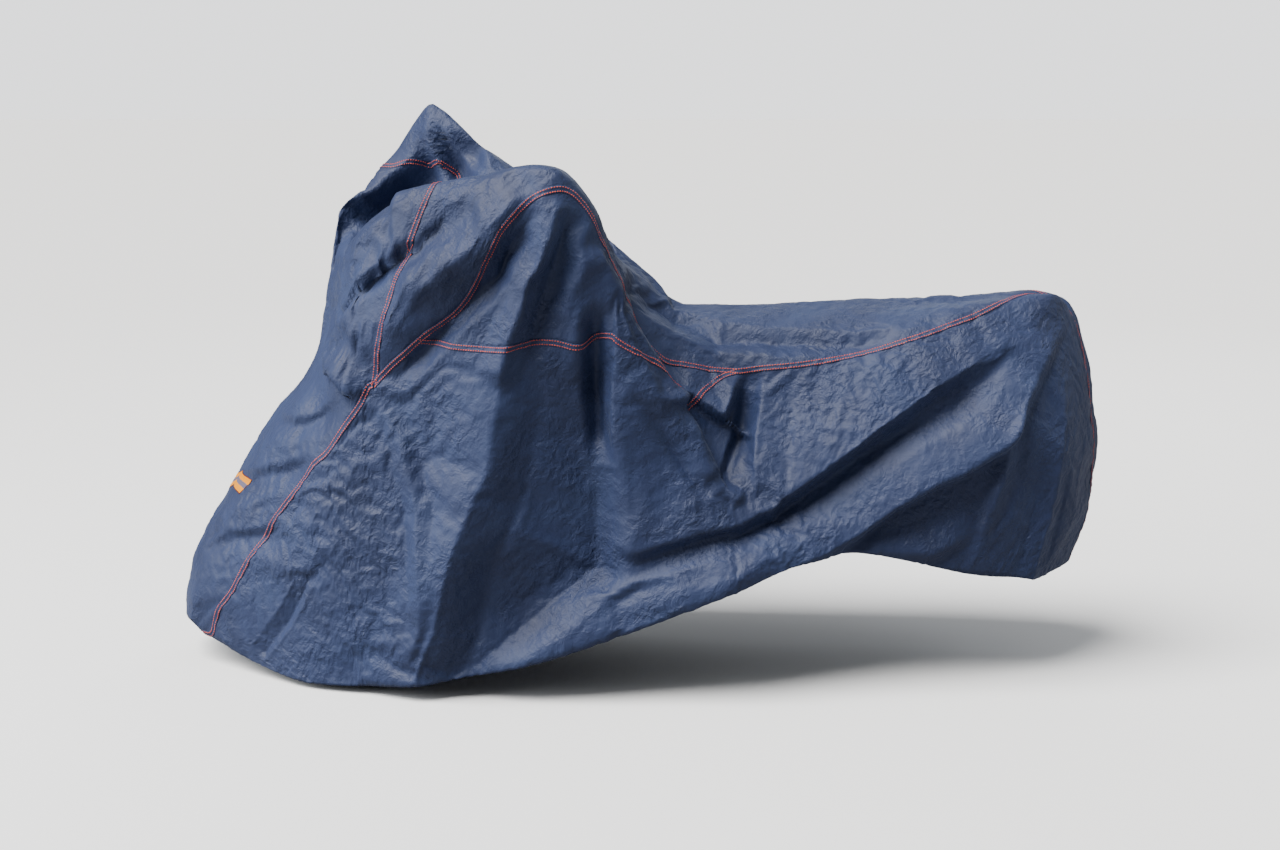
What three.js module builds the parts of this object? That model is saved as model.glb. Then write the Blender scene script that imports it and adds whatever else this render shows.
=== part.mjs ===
// A motorcycle cover of thin coated cloth, draped as it hangs in use, with a leaning front.
// Sizes are millimetres. X runs from the nose of the cover to its tail, Y from its near side to
// its far side, and Z up from the ground. At the end every mesh moves, so that the origin is the
// point on the inner side of the cloth that the cover hangs from.
//
// The cloth is one draped surface, and six panels are cut from it along the seams. A place on the
// surface has two numbers. "at" counts sections from the front hem (0) to the rear hem (26), and
// "over" goes across the cover, from the near hem (-1) over the middle (0) to the far hem (1).
import * as THREE from "three";

const clothThickness = 2;
const seamGap = 1;
const tape = { thickness: 0.6, gap: 0.4, first: 10 / 3, last: 11 / 3, firstRow: 5, lastRow: 11 };
const hanging = { at: 18, over: 0 };
const coatedCloth = { color: 0x26324f, roughness: 0.55, metalness: 0 };
const reflectiveFilm = { color: 0xf08a2c, roughness: 0.35, metalness: 0 };

const table = (names, rows) => {
  const keys = names.split(" ");
  return rows.map((row) => Object.fromEntries(keys.map((key, i) => [key, row[i]])));
};

// Eight lines run along the cover from the front hem to the rear hem, and the cloth is smooth
// between them. The crest is the middle of the cover. The edges are where its top turns down.

const nearHem = table("at x y z", [
  [0, -1085, -105, 75], [2, -920, -230, 30], [4, -790, -315, 15], [9, -540, -385, 35],
  [11, -400, -410, 60], [13, -205, -415, 110], [16, 180, -390, 250], [17, 230, -383, 265],
  [19, 400, -350, 325], [20, 520, -330, 340], [22, 775, -290, 280], [24, 905, -250, 260],
  [26, 970, -200, 245],
]);
const nearLow = table("at x y z", [
  [0, -1095, -100, 80], [1, -1030, -155, 85], [3, -865, -265, 120], [5, -750, -320, 210],
  [9, -580, -368, 295], [11, -420, -395, 320], [13, -210, -402, 365], [14, -80, -398, 385],
  [15, 50, -385, 435], [16, 190, -345, 470], [17, 210, -305, 450], [18, 270, -298, 440],
  [20, 535, -305, 465], [21, 695, -300, 450], [22, 830, -285, 440], [23, 910, -262, 430],
  [25, 995, -205, 310], [26, 990, -178, 245],
]);
const nearFlank = table("at x y z", [
  [0, -1105, -95, 90], [1, -1060, -130, 145], [2, -970, -190, 195], [4, -810, -280, 370],
  [5, -765, -295, 455], [8, -655, -308, 645], [9, -625, -305, 700], [11, -445, -362, 690],
  [12, -330, -385, 705], [14, -85, -380, 715], [15, 10, -370, 680], [16, 115, -345, 645],
  [17, 150, -290, 605], [18, 235, -258, 628], [19, 400, -268, 635], [21, 730, -280, 625],
  [22, 875, -265, 635], [23, 960, -240, 630], [24, 1030, -205, 540], [25, 1045, -172, 380],
  [26, 1005, -150, 245],
]);
const nearEdge = table("at x y z", [
  [0, -1130, -75, 105], [1, -1105, -95, 185], [2, -1050, -115, 285], [5, -825, -175, 650],
  [6, -750, -190, 750], [7, -675, -220, 1065], [8, -605, -245, 1165], [9, -475, -290, 1210],
  [10, -365, -330, 1220], [12, -200, -390, 1235], [13, -125, -375, 1165], [14, -90, -352, 1085],
  [15, -70, -338, 1030], [16, -35, -320, 960], [17, -20, -205, 920], [18, 145, -180, 835],
  [19, 320, -190, 815], [20, 525, -195, 830], [22, 935, -150, 910], [23, 1015, -130, 880],
  [24, 1085, -115, 645], [25, 1090, -100, 415], [26, 1050, -85, 245],
]);
const crest = table("at x y z", [
  [0, -1155, 0, 100], [1, -1145, -5, 165], [2, -1115, -10, 270], [5, -900, -30, 610],
  [6, -805, -40, 735], [6.5, -765, -30, 800], [7, -745, -5, 940], [8, -640, 40, 1000],
  [9, -440, 55, 1115], [10, -310, 40, 1132], [12, -160, 0, 1110], [13, -105, -30, 1070],
  [14, -70, -40, 1020], [16, -20, -45, 980], [17, 60, -50, 915], [18, 125, -55, 880],
  [21, 755, -65, 900], [22, 975, -60, 910], [23, 1065, -50, 850], [24, 1120, -40, 580],
  [25, 1120, -30, 385], [26, 1080, -20, 240],
]);
const farEdge = table("at x y z", [
  [0, -1165, 75, 95], [1, -1160, 95, 150], [2, -1120, 110, 245], [4, -985, 130, 490],
  [5, -915, 140, 600], [6, -825, 150, 725], [7, -740, 220, 1080], [8, -705, 280, 1160],
  [9, -655, 330, 1225], [10, -540, 300, 1330], [11, -425, 265, 1250], [12, -320, 215, 1180],
  [13, -200, 160, 1125], [14, -125, 110, 1060], [16, -75, 60, 1020], [17, 0, 35, 960],
  [18, 120, 15, 875], [20, 545, 20, 885], [21, 765, 10, 895], [22, 985, 20, 900],
  [23, 1070, 20, 825], [24, 1135, 35, 565], [25, 1130, 45, 370], [26, 1090, 45, 245],
]);
const farFlank = table("at x y z", [
  [0, -1120, 100, 95], [3, -930, 215, 250], [6, -700, 275, 500], [8, -640, 330, 780],
  [10, -560, 365, 760], [13, -330, 330, 700], [17, -20, 270, 650], [20, 350, 250, 620],
  [23, 820, 215, 620], [25, 1040, 160, 420], [26, 1060, 95, 275],
]);
const farHem = table("at x y z", [
  [0, -1090, 110, 98], [3, -900, 245, 90], [6, -760, 320, 100], [9, -690, 350, 115],
  [12, -430, 365, 170], [16, -40, 350, 260], [19, 300, 325, 335], [22, 700, 290, 340],
  [24, 870, 255, 325], [26, 985, 180, 305],
]);

// The seams of the near side. Those of the far side mirror them across the middle.
// The front seam goes from the corner of the front hem up to the fork where the top begins.
const frontSeam = table("at over", [
  [0, -0.94], [0.6, -0.82], [1.35, -0.66], [2.2, -0.57], [3.1, -0.54], [4.5, -0.55], [6.7, -0.62],
  [9, -0.64],
]);
// The upper seam goes on from the fork, up past the near peak, and down behind it.
const upperSeam = table("at over", [
  [9, -0.64], [9.65, -0.605], [10.1, -0.575], [10.7, -0.54], [11.05, -0.5], [11.4, -0.435],
  [11.75, -0.4], [12.1, -0.38], [12.6, -0.345], [13.05, -0.335], [14, -0.335], [16, -0.31],
  [16.5, -0.4], [17, -0.485], [17.5, -0.49], [18.333, -0.48],
]);
// The lower seam leaves the upper one, meets it again further back and ends at the tail.
const lowerSeam = table("at over", [
  [10, -0.583], [11.05, -0.585], [11.9, -0.59], [12.9, -0.58], [13.5, -0.58], [13.9, -0.56],
  [14.4, -0.545], [15.2, -0.54], [16.1, -0.57], [16.55, -0.6], [17, -0.59], [17.65, -0.55],
  [18.333, -0.48], [19.2, -0.44], [19.95, -0.405], [20.85, -0.37], [21.5, -0.31], [22, -0.13],
  [22.333, -0.004],
]);
const fork = 9;
const gusset = { first: 10, last: 55 / 3, tip: 0.0018 };
const tail = 67 / 3;
// The lower edge of the upper swag on the near side.
const swagEdge = table("at over", [
  [0, -0.97], [3, -0.8], [9, -0.84], [13, -0.83], [14.05, -0.84], [14.5, -0.87], [15.55, -0.89],
  [18.3, -0.85], [19.2, -0.78], [20.35, -0.63], [21.05, -0.56], [21.7, -0.49], [22.45, -0.42],
  [24, -0.48], [26, -0.6],
]);

// Folds of the near side. Their paths are seen square to that side. "left" and "right" are how
// far a fold reaches to the two sides of its path, and a trough has a negative depth.
const nearFolds = [
  // the ridge that the near peak pulls down to the front seam
  { left: 48, right: 75, path: table("x z depth", [
    [-225, 1205, 0], [-270, 1160, 16], [-365, 1075, 24], [-480, 945, 22], [-605, 760, 0]
  ]) },
  // the trough behind that ridge
  { left: 42, right: 42, path: table("x z depth", [
    [-205, 1185, 0], [-300, 1105, -14], [-405, 990, -18], [-555, 805, 0]
  ]) },
  // the first ridge down from the near peak
  { left: 60, right: 40, path: table("x z depth", [
    [-190, 1215, 0], [-245, 1125, 14], [-305, 975, 22], [-345, 855, 16], [-370, 670, 0]
  ]) },
  // the trough after it
  { left: 40, right: 40, path: table("x z depth", [
    [-175, 1135, 0], [-195, 1045, -12], [-230, 875, -14], [-240, 725, 0]
  ]) },
  // the long edge where the drape turns from the front to the side
  { left: 110, right: 120, path: table("x z depth", [
    [-345, 855, 0], [-325, 740, 14], [-370, 600, 26], [-430, 380, 36], [-480, 160, 36],
    [-530, 35, 30]
  ]) },
  // the second ridge down from the near peak
  { left: 40, right: 45, path: table("x z depth", [
    [-140, 1170, 0], [-130, 1040, 12], [-145, 880, 16], [-160, 710, 0]
  ]) },
  // the deep pleat at the middle of the near side
  { left: 22, right: 34, path: table("x z depth", [
    [-95, 930, 0], [-90, 845, -34], [-80, 725, -38], [-70, 650, -26], [-70, 610, 0]
  ]) },
  // the ridge behind the pleat
  { left: 50, right: 24, path: table("x z depth", [
    [-75, 965, 0], [-50, 840, 18], [-40, 730, 20], [-25, 605, 10], [-15, 480, 0]
  ]) },
  // the lower edge of the upper swag, which hangs over the cloth below
  { left: 170, right: 34, path: table("x z depth", [
    [-75, 400, 0], [-10, 370, 26], [145, 390, 40], [300, 425, 44], [425, 515, 42],
    [625, 640, 36], [745, 720, 28], [860, 800, 16], [970, 880, 0]
  ]) },
  // the hollow under that edge
  { left: 30, right: 75, path: table("x z depth", [
    [25, 315, 0], [185, 350, -18], [380, 435, -22], [565, 565, -22], [735, 665, -18],
    [905, 805, 0]
  ]) },
  // the round of the lower swag
  { left: 60, right: 80, path: table("x z depth", [
    [120, 265, 0], [330, 345, 14], [515, 460, 26], [685, 570, 32], [820, 685, 26],
    [965, 810, 0]
  ]) },
  // the lower edge of the second swag
  { left: 36, right: 70, path: table("x z depth", [
    [1005, 870, 0], [955, 755, 16], [900, 620, 30], [740, 530, 34], [570, 420, 28],
    [420, 350, 0]
  ]) },
  // the short ridge above the rear hem
  { left: 40, right: 30, path: table("x z depth", [
    [910, 690, 0], [885, 610, 16], [860, 500, 18], [825, 400, 8], [795, 315, 0]
  ]) },
  // the low ridge along the rear hem
  { left: 34, right: 60, path: table("x z depth", [
    [830, 410, 0], [690, 335, 18], [565, 345, 14], [480, 340, 0]
  ]) },
  // the ridge at the rear corner
  { left: 40, right: 45, path: table("x z depth", [
    [1005, 830, 0], [1010, 640, 12], [985, 445, 16], [940, 250, 12]
  ]) },
  // the thin ridge above the lower hem
  { left: 30, right: 30, path: table("x z depth", [
    [-285, 200, 0], [-140, 240, 9], [-15, 280, 11], [115, 315, 9], [220, 350, 0]
  ]) },
  // the trough behind the light facet
  { left: 36, right: 30, path: table("x z depth", [
    [235, 745, 0], [210, 690, -22], [185, 620, -26], [155, 515, -12], [140, 470, 0]
  ]) },
  // the ridge behind it, down to the swag
  { left: 60, right: 30, path: table("x z depth", [
    [270, 740, 0], [245, 645, 14], [235, 540, 16], [240, 450, 0]
  ]) },
  // the fold where the upper front hangs over the lower front
  { left: 26, right: 70, path: table("x z depth", [
    [-640, 740, 0], [-680, 715, 16], [-710, 765, 18], [-760, 805, 6]
  ]) },
  // the ridge down from the front seam
  { left: 40, right: 40, path: table("x z depth", [
    [-610, 715, 0], [-555, 620, 10], [-510, 455, 14], [-505, 235, 10], [-515, 95, 0]
  ]) },
  // the trough in the front of the side
  { left: 45, right: 45, path: table("x z depth", [
    [-670, 655, 0], [-650, 465, -10], [-645, 260, -14], [-660, 20, -10]
  ]) },
  // the ridge in the front corner
  { left: 40, right: 45, path: table("x z depth", [
    [-765, 530, 0], [-765, 315, 10], [-765, 120, 14], [-760, 15, 10]
  ]) },
  // the soft trough down the front panel
  { left: 45, right: 45, path: table("x z depth", [
    [-815, 630, 0], [-915, 455, -12], [-1015, 275, -10], [-1080, 165, 0]
  ]) },
  // the long trough in the middle of the near side
  { left: 60, right: 60, path: table("x z depth", [
    [-275, 635, 0], [-290, 435, -12], [-330, 230, -18], [-350, 70, -18]
  ]) },
  // the soft ridge after it
  { left: 60, right: 60, path: table("x z depth", [
    [-185, 600, 0], [-170, 385, 12], [-190, 205, 16], [-195, 115, 14]
  ]) },
  // the trough between the front edge and the near peak
  { left: 30, right: 30, path: table("x z depth", [
    [-610, 1130, 0], [-635, 1005, -14], [-655, 865, -16], [-670, 735, 0]
  ]) },
  // the ridge beside it
  { left: 26, right: 26, path: table("x z depth", [
    [-555, 1155, 0], [-580, 1030, 8], [-620, 890, 10], [-640, 770, 0]
  ]) },
];
// Folds below the far peak, on the side that faces the near peak.
const coneFolds = [
  // the pleat down from the far peak
  { left: 22, right: 16, path: table("x z depth", [
    [-530, 1335, 0], [-530, 1275, 18], [-510, 1215, 20], [-495, 1175, 10]
  ]) },
  // the second pleat
  { left: 22, right: 22, path: table("x z depth", [
    [-525, 1340, 0], [-470, 1265, 10], [-400, 1205, 10], [-385, 1175, 0]
  ]) },
];
// The far side hangs free, in folds that fan down from the far peak and from the tail.
const farFolds = [
  { left: 70, right: 60, path: table("x z depth", [
    [-560, 1180, 0], [-610, 900, 22], [-640, 500, 30], [-650, 120, 24]
  ]) },
  { left: 45, right: 55, path: table("x z depth", [
    [-540, 1190, 0], [-520, 900, -16], [-530, 500, -26], [-540, 130, -26]
  ]) },
  { left: 60, right: 60, path: table("x z depth", [
    [-510, 1190, 0], [-430, 900, 18], [-410, 520, 30], [-420, 150, 26]
  ]) },
  { left: 55, right: 50, path: table("x z depth", [
    [-480, 1150, 0], [-340, 860, -18], [-300, 520, -28], [-300, 190, -26]
  ]) },
  { left: 70, right: 60, path: table("x z depth", [
    [-440, 1120, 0], [-240, 860, 16], [-180, 540, 28], [-170, 220, 24]
  ]) },
  { left: 60, right: 34, path: table("x z depth", [
    [-380, 1090, 0], [-120, 820, 20], [40, 620, 30], [180, 470, 26], [330, 420, 0]
  ]) },
  { left: 120, right: 36, path: table("x z depth", [
    [120, 470, 0], [300, 520, 24], [520, 640, 34], [760, 780, 26], [960, 880, 0]
  ]) },
  { left: 60, right: 70, path: table("x z depth", [
    [260, 360, 0], [480, 450, 16], [720, 600, 26], [900, 750, 0]
  ]) },
  { left: 50, right: 45, path: table("x z depth", [
    [1040, 800, 0], [1010, 620, 16], [950, 450, 22], [900, 330, 14]
  ]) },
];

const guides = [
  { over: -1, line: nearHem, round: 1 },
  { over: -0.84, line: nearLow, round: 1 },
  { over: -0.66, line: nearFlank, round: 1 },
  { over: -0.33, line: nearEdge, round: 0.75 },
  { over: 0, line: crest, round: 1 },
  { over: 0.33, line: farEdge, round: 0.75 },
  { over: 0.66, line: farFlank, round: 1 },
  { over: 1, line: farHem, round: 1 },
];
const rearHem = 26;
const columnStep = 1 / 3;

// A smooth curve from a to b with the given slopes at its ends, at t from 0 to 1.
const ease = (a, b, slopeA, slopeB, t) => {
  const t2 = t * t;
  const t3 = t2 * t;
  return a * (2 * t3 - 3 * t2 + 1) + b * (3 * t2 - 2 * t3) + slopeA * (t3 - 2 * t2 + t)
    + slopeB * (t3 - t2);
};

// The value of a table's column "key" at a place between its rows, which are in order of "by".
const between = (rows, place, by, key) => {
  let k = 0;
  while (k < rows.length - 2 && place > rows[k + 1][by]) k += 1;
  const slope = (m) => {
    const before = rows[Math.max(m - 1, 0)];
    const after = rows[Math.min(m + 1, rows.length - 1)];
    return (rows[m].round ?? 1) * (after[key] - before[key]) / (after[by] - before[by]);
  };
  const gap = rows[k + 1][by] - rows[k][by];
  const t = (place - rows[k][by]) / gap;
  return ease(rows[k][key], rows[k + 1][key], slope(k) * gap, slope(k + 1) * gap, t);
};

// The surface without its folds.
const restPoint = (at, over) => {
  const rows = guides.map(({ over: place, line, round }) => ({
    over: place, round, x: between(line, at, "at", "x"), y: between(line, at, "at", "y"),
    z: between(line, at, "at", "z"),
  }));
  return new THREE.Vector3(...["x", "y", "z"].map((key) => between(rows, over, "over", key)));
};

const clamp = (value, low, high) => Math.min(Math.max(value, low), high);
const rise = (value, low, high) => THREE.MathUtils.smoothstep(value, low, high);

// The outward normal of a surface, from the points a little way to each side.
const normalOf = (surface, at, over) => {
  const along = surface(clamp(at + 0.03, 0, rearHem), over)
    .sub(surface(clamp(at - 0.03, 0, rearHem), over));
  const across = surface(at, clamp(over + 0.005, -1, 1)).sub(surface(at, clamp(over - 0.005, -1, 1)));
  return along.cross(across).normalize();
};

// How far one fold moves a point out of the surface: fully on the fold's path, and less and less
// out to its width on that side.
const foldDepth = ({ left, right, path }, point) => {
  let nearest = Infinity;
  let depth = 0;
  for (let k = 0; k < path.length - 1; k += 1) {
    const [a, b] = [path[k], path[k + 1]];
    const run = { x: b.x - a.x, z: b.z - a.z };
    const to = { x: point.x - a.x, z: point.z - a.z };
    const t = clamp((to.x * run.x + to.z * run.z) / (run.x ** 2 + run.z ** 2), 0, 1);
    const away = Math.hypot(to.x - t * run.x, to.z - t * run.z);
    if (away < nearest) {
      nearest = away;
      const side = run.x * to.z - run.z * to.x > 0 ? left : right;
      const height = a.depth + (b.depth - a.depth) * rise(t, 0, 1);
      depth = height * (1 - rise(away, 0, side));
    }
  }
  return depth;
};

// Crumples that no fold accounts for: waves of three lengths that run in different directions.
const crumples = table("height x y z start", [
  [3.2, 0.045, 0.021, 0.017, 0.4],
  [2.6, -0.031, 0.052, 0.043, 1.9],
  [1.8, 0.083, -0.047, 0.061, 4.1],
]);

// The far peak rises to a point.
const farPeak = { x: -536, y: 300, z: 1330, height: 34, reach: 150 };

const clothPoint = (at, over) => {
  const point = restPoint(at, over);
  const near = rise(-over, 0.03, 0.12);
  const cone = rise(over, 0.02, 0.08) * (1 - rise(over, 0.45, 0.6)) * rise(at, 7.5, 8)
    * (1 - rise(at, 12, 13));
  const far = rise(over, 0.35, 0.5);
  let out = 0;
  for (const fold of nearFolds) out += near * foldDepth(fold, point);
  for (const fold of coneFolds) out += cone * foldDepth(fold, point);
  for (const fold of farFolds) out += far * foldDepth(fold, point);
  for (const wave of crumples) {
    out += wave.height * Math.sin(wave.x * point.x + wave.y * point.y + wave.z * point.z + wave.start);
  }
  point.addScaledVector(normalOf(restPoint, at, over), out);
  point.z += farPeak.height * (1 - clamp(point.distanceTo(farPeak) / farPeak.reach, 0, 1)) ** 2;
  return point;
};

// A closed sheet between two layers of points, each a list of columns of the same length.
const sheetGeometry = (outer, inner) => {
  const columns = outer.length;
  const rows = outer[0].length;
  const position = [outer, inner].flat(2).flatMap((point) => point.toArray());
  const place = (layer, i, j) => (layer * columns + i) * rows + j;
  const index = [];
  const quad = (a, b, c, d) => index.push(a, b, c, a, c, d);
  for (let i = 0; i < columns - 1; i += 1) {
    for (let j = 0; j < rows - 1; j += 1) {
      const rising = outer[i][j].distanceTo(outer[i + 1][j + 1]);
      const falling = outer[i + 1][j].distanceTo(outer[i][j + 1]);
      const turn = rising < falling ? 0 : 1;
      for (const layer of [0, 1]) {
        const corners = [place(layer, i, j), place(layer, i + 1, j), place(layer, i + 1, j + 1),
          place(layer, i, j + 1)];
        const start = turn ? [corners[1], corners[2], corners[3], corners[0]] : corners;
        quad(...(layer ? [start[0], start[3], start[2], start[1]] : start));
      }
    }
  }
  // A wall's two triangles meet on the line from its earlier outer corner to its later inner one,
  // so the walls on the two sides of a seam are alike, also where the cloth twists.
  const wall = (i0, j0, i1, j1, turned) => {
    const corners = [place(0, i0, j0), place(1, i0, j0), place(1, i1, j1), place(0, i1, j1)];
    quad(...(turned ? [corners[0], corners[3], corners[2], corners[1]] : corners));
  };
  for (let i = 0; i < columns - 1; i += 1) {
    wall(i, 0, i + 1, 0, false);
    wall(i, rows - 1, i + 1, rows - 1, true);
  }
  for (let j = 0; j < rows - 1; j += 1) {
    wall(columns - 1, j, columns - 1, j + 1, false);
    wall(0, j, 0, j + 1, true);
  }
  const geometry = new THREE.BufferGeometry();
  geometry.setAttribute("position", new THREE.Float32BufferAttribute(position, 3));
  geometry.setIndex(index);
  return geometry;
};

// Rows that are evenly spread from one edge of a piece to the other.
const even = (at, rows) => Array.from({ length: rows + 1 }, (_, j) => j / rows);

// The points and normals of a piece, column by column. "low" and "high" give its two edges.
const layOut = ({ first, last, step, rows, low, high, spread = even }) => {
  const count = Math.round((last - first) / step);
  const places = Array.from({ length: count + 1 }, (_, i) => {
    const at = first + (last - first) * i / count;
    const [a, b] = [low(at), high(at)];
    const share = spread(at, rows);
    return share.map((part) => ({ at, over: a + (b - a) * part }));
  });
  return {
    points: places.map((line) => line.map(({ at, over }) => clothPoint(at, over))),
    normals: places.map((line) => line.map(({ at, over }) => normalOf(clothPoint, at, over))),
  };
};

// Moves the points of one edge in by half the gap of a seam, square to that edge.
const drawIn = (points, edge) => {
  const end = points.length - 1;
  const top = points[0].length - 1;
  const pick = {
    low: (k, m) => points[k]?.[m],
    high: (k, m) => points[k]?.[top - m],
    first: (k, m) => points[m]?.[k],
    last: (k, m) => points[end - m]?.[k],
  }[edge];
  const length = edge === "low" || edge === "high" ? end : top;
  const moves = [];
  for (let k = 0; k <= length; k += 1) {
    const along = (pick(k + 1, 0) ?? pick(k, 0)).clone().sub(pick(k - 1, 0) ?? pick(k, 0)).normalize();
    const inward = pick(k, 1).clone().sub(pick(k, 0));
    inward.addScaledVector(along, -inward.dot(along)).normalize();
    moves.push(inward.multiplyScalar(seamGap / 2));
  }
  moves.forEach((move, k) => pick(k, 0).add(move));
};

const shift = (points, normals, distance) => points.map((line, i) =>
  line.map((point, j) => point.clone().addScaledVector(normals[i][j], distance)));

const cover = new THREE.Group();
cover.name = "motorcycle_cover";

const add = (name, outer, inner, finish) => {
  const mesh = new THREE.Mesh(sheetGeometry(outer, inner), new THREE.MeshStandardMaterial(finish));
  mesh.name = name;
  cover.add(mesh);
};

const addPanel = (name, shape, seams) => {
  const { points, normals } = layOut({ step: columnStep, ...shape });
  seams.forEach((edge) => drawIn(points, edge));
  add(name, points, shift(points, normals, -clothThickness), coatedCloth);
};

const seamAt = (seam, at) => between(seam, at, "at", "over");
const afterGusset = (at) => at > gusset.last + columnStep / 2;

// The upper edge of the near side panel. The far side panel mirrors it.
const sideEdge = (at) => {
  if (at < gusset.first - columnStep / 2) return seamAt(at < fork ? frontSeam : upperSeam, at);
  return at < tail + columnStep / 2 ? seamAt(lowerSeam, at) : 0;
};

// The near edge of the front panel and of the top panel behind it.
const middleEdge = (at) => {
  if (at < gusset.first - columnStep / 2) return sideEdge(at);
  return afterGusset(at) ? seamAt(lowerSeam, at)
    : Math.max(seamAt(upperSeam, at), seamAt(lowerSeam, at) + gusset.tip);
};

// One row of the near side runs along the lower edge of the upper swag, for a crisp edge there.
const rowsBelowSwag = 11;
const swagRows = (at, rows) => {
  const low = rowsBelowSwag;
  const share = (seamAt(swagEdge, at) + 1) / (sideEdge(at) + 1);
  return Array.from({ length: rows + 1 }, (_, j) =>
    (j < low ? share * j / low : share + (1 - share) * (j - low) / (rows - low)));
};

const middle = { rows: 16, low: middleEdge, high: (at) => -middleEdge(at) };
const nearSide = { first: 0, last: rearHem, rows: 26, low: () => -1, high: sideEdge, spread: swagRows };
const farSide = { first: 0, last: rearHem, rows: 9, low: (at) => -sideEdge(at), high: () => 1 };
const lower = (at) => seamAt(lowerSeam, at);

addPanel("front_panel", { first: 0, last: fork, ...middle }, ["low", "high", "last"]);
addPanel("top_panel", { first: fork, last: tail, ...middle }, ["low", "high", "first", "last"]);
addPanel("side_panel_near", nearSide, ["high"]);
addPanel("side_panel_far", farSide, ["low"]);
addPanel("gusset_near", { ...gusset, rows: 4, low: lower, high: middleEdge },
  ["low", "high", "first", "last"]);
addPanel("gusset_far", { ...gusset, rows: 3, low: (at) => -middleEdge(at), high: (at) => -lower(at) },
  ["low", "high", "first", "last"]);

// The tape lies on one column of the front panel's faces, across its middle.
const strip = layOut({ first: tape.first, last: tape.last, step: columnStep, ...middle });
const [tapePoints, tapeNormals] = [strip.points, strip.normals]
  .map((lines) => lines.map((line) => line.slice(tape.firstRow, tape.lastRow + 1)));
add("reflective_tape", shift(tapePoints, tapeNormals, tape.gap + tape.thickness),
  shift(tapePoints, tapeNormals, tape.gap), reflectiveFilm);

// The origin goes to the inner side of the cloth, where it hangs.
const origin = clothPoint(hanging.at, hanging.over)
  .addScaledVector(normalOf(clothPoint, hanging.at, hanging.over), -clothThickness);
cover.children.forEach(({ geometry }) => geometry.translate(-origin.x, -origin.y, -origin.z));

export default cover;
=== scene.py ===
# An outdoor vehicle cover of thin coated cloth, draped as it hangs in use.
# The draped surface is worked out in millimetres over the ground and then moved into the frame.
import math

import bmesh
import bpy
import numpy as np
from mathutils import Matrix, Vector, noise
from mathutils.bvhtree import BVHTree


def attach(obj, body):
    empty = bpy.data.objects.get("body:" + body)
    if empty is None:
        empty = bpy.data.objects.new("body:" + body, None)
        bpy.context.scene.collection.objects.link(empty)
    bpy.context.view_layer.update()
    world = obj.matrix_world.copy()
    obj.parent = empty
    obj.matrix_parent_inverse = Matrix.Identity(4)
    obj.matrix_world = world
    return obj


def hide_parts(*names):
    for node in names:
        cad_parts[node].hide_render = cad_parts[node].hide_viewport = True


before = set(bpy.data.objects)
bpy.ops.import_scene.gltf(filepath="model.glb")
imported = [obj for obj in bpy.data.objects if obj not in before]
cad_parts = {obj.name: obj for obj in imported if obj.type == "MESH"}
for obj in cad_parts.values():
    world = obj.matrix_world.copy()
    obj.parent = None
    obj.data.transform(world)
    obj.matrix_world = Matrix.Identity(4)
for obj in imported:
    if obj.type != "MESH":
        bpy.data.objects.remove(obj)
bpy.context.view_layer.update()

# camera, floor and light
view = {
    "camera": (-0.1252, -4.7441, 0.615), "pitchDown": 10.8, "lens": 55, "sensor": 36,
    # the floor is pale to the eye, and throws less light up under the cover than white paint does
    "floorHeight": -0.8852, "floorSize": 80, "floorRoughness": 0.9,
    "floorThrown": (0.24, 0.24, 0.25), "floorSeen": (0.92, 0.92, 0.92),
}


def addObject(name, data):
    made = bpy.data.objects.new(name, data)
    bpy.context.scene.collection.objects.link(made)
    return made


def setView():
    camera = addObject("camera", bpy.data.cameras.new("camera"))
    camera.data.lens = view["lens"]
    camera.data.sensor_width = view["sensor"]
    camera.location = view["camera"]
    camera.rotation_euler = (math.radians(90 - view["pitchDown"]), 0, 0)
    bpy.context.scene.camera = camera


middle = (0, 0, -0.25)  # of the cover
lights = {
    # name: (place, size, watts, colour), soft boxes aimed at the middle
    "behind": ((0.8, 4.6, 2.8), 3.0, 60, (0.90, 0.95, 1.0)),
    "left": ((-4.8, -1.6, 1.2), 2.6, 190, (0.94, 0.97, 1.0)),
    "right": ((4.6, -0.4, 1.6), 2.4, 40, (0.90, 0.95, 1.0)),
}
# the overcast sun: from the left, a little in front and high, and as wide as soft cloud
sun = {"from": (-0.44, -0.28, 0.85), "strength": 7.2, "wide": 40, "colour": (1.0, 0.985, 0.965)}
# The sky's light is low at the horizon and grows towards the top. The camera sees a plain backdrop.
sky = {"colour": (0.97, 0.98, 1.0), "horizon": 0.05, "zenith": 0.34, "backdrop": 1.95}


def addLamp(name, kind, power, colour, aim):
    lamp = addObject(name, bpy.data.lights.new(name, kind))
    lamp.data.energy, lamp.data.color = power, colour
    lamp.rotation_euler = aim.to_track_quat("-Z", "Y").to_euler()
    return lamp


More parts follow.
